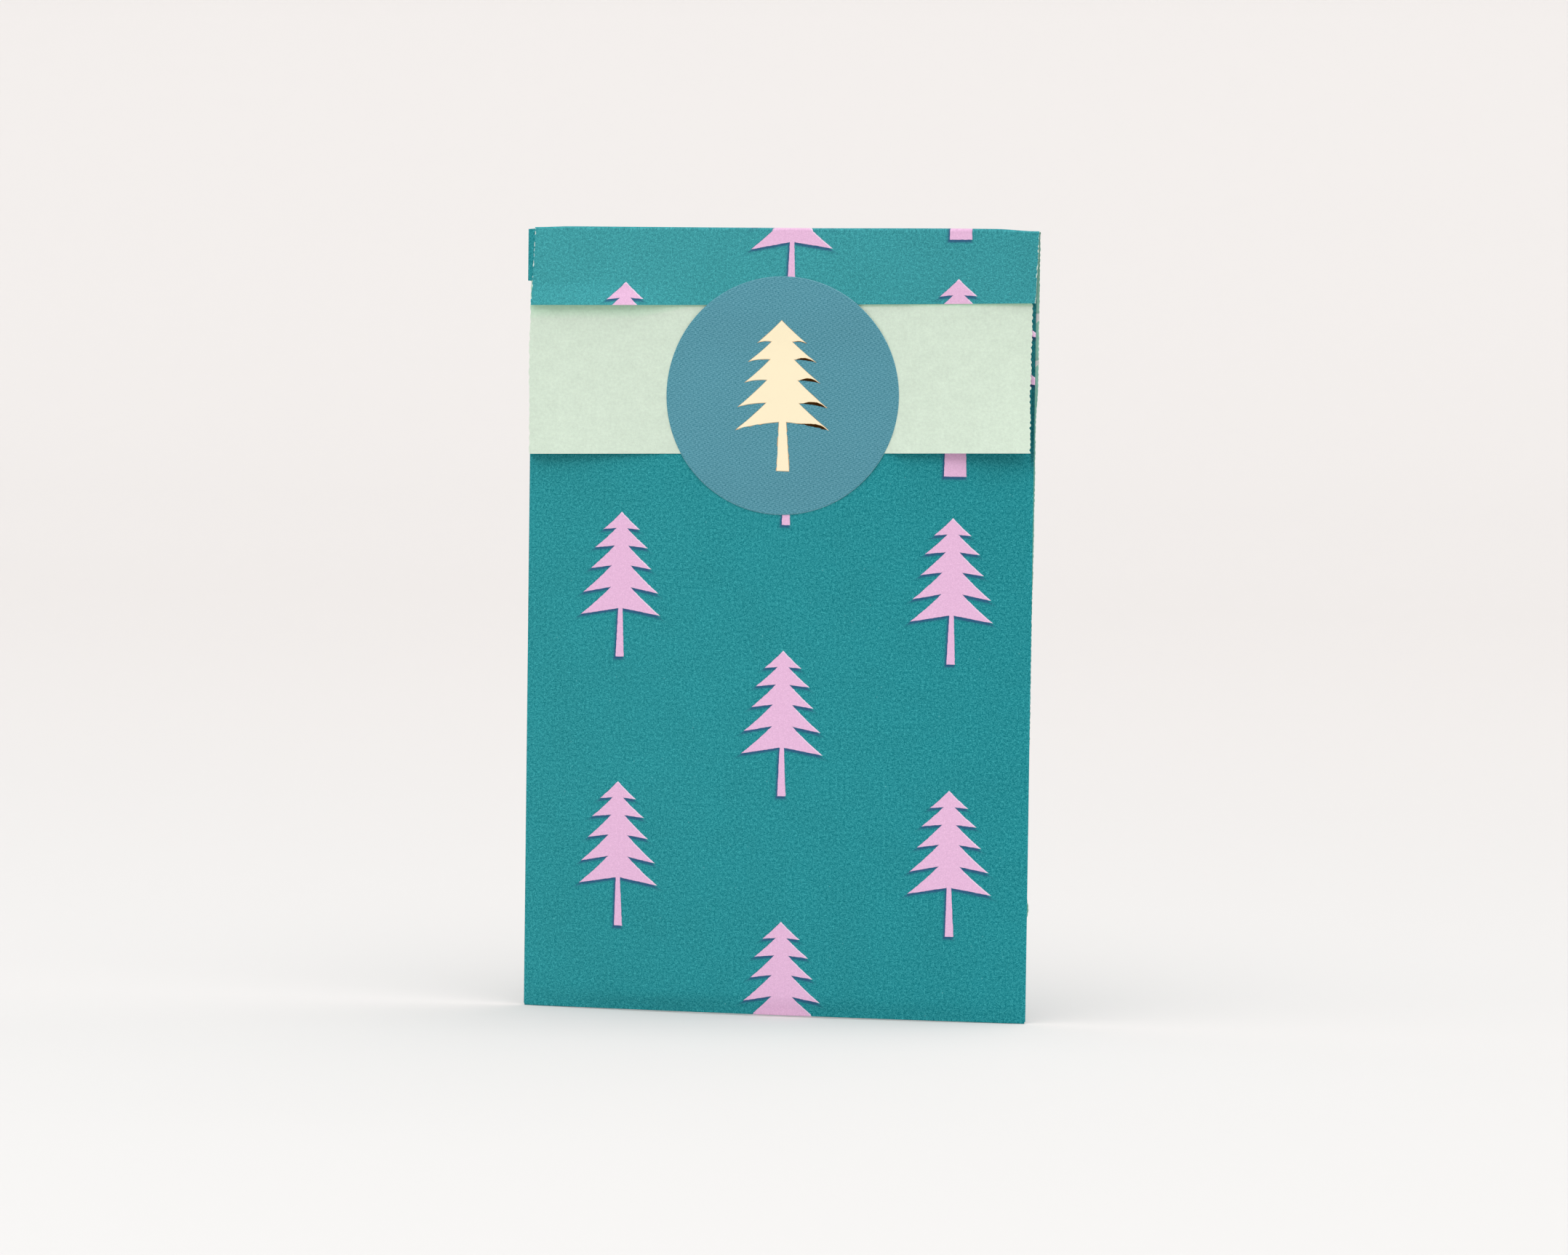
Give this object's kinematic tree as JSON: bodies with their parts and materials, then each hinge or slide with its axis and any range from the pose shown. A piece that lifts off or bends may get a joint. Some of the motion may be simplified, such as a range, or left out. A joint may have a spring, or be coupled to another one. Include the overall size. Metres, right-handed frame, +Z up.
{
  "type": "flat paper gift bag",
  "caption": "Flat paper gift bag with glued side seams; its open top is folded forward over the front and held by a round seal.",
  "frame": {"origin": "on the floor, under the middle of the bag's box", "axes": "+Z up from the bottom fold to the top crease, +X to the right seen from the front, -Y towards the viewer of the front"},
  "size_m": [0.1218, 0.0047, 0.183],
  "materials": {
    "printed_paper": "matte",
    "inside_paper": "matte",
    "seal_paper": "satin",
    "foil": "polished",
    "glue": "satin"
  },
  "bodies": {
    "bag": {"front_panel": "printed_paper", "back_panel": "printed_paper", "bottom_fold": "printed_paper", "left_side_flap": "printed_paper", "right_side_flap": "printed_paper", "left_seam_glue": "glue", "right_seam_glue": "glue"},
    "closure": {"lip_neck": "inside_paper", "outer_flap": "printed_paper", "left_flap_end": "printed_paper", "right_flap_end": "printed_paper", "left_end_glue": "glue", "right_end_glue": "glue"},
    "lip": {"lip": "inside_paper"},
    "seal": {"seal_label": "seal_paper", "seal_adhesive": "glue", "seal_foil_tree": "foil"}
  },
  "joints": [
    {"name": "crease", "type": "hinge", "parent": "bag", "child": "closure", "pos_m": [0, 0.00168, 0.183], "axis": [-1, 0, 0], "range_deg": [0, 176]},
    {"name": "lip_bend", "type": "hinge", "parent": "closure", "child": "lip", "pos_m": [0, 0.00165, 0.17025], "axis": [1, 0, 0], "range_deg": [0, 30]},
    {"name": "seal_peel", "type": "hinge", "parent": "closure", "child": "seal", "pos_m": [0, 0.00078, 0.1718], "axis": [-1, 0, 0], "range_deg": [0, 90]}
  ],
  "couplings": [
    {"joint": "lip_bend", "follows": "crease", "ratio": 0.17}
  ]
}
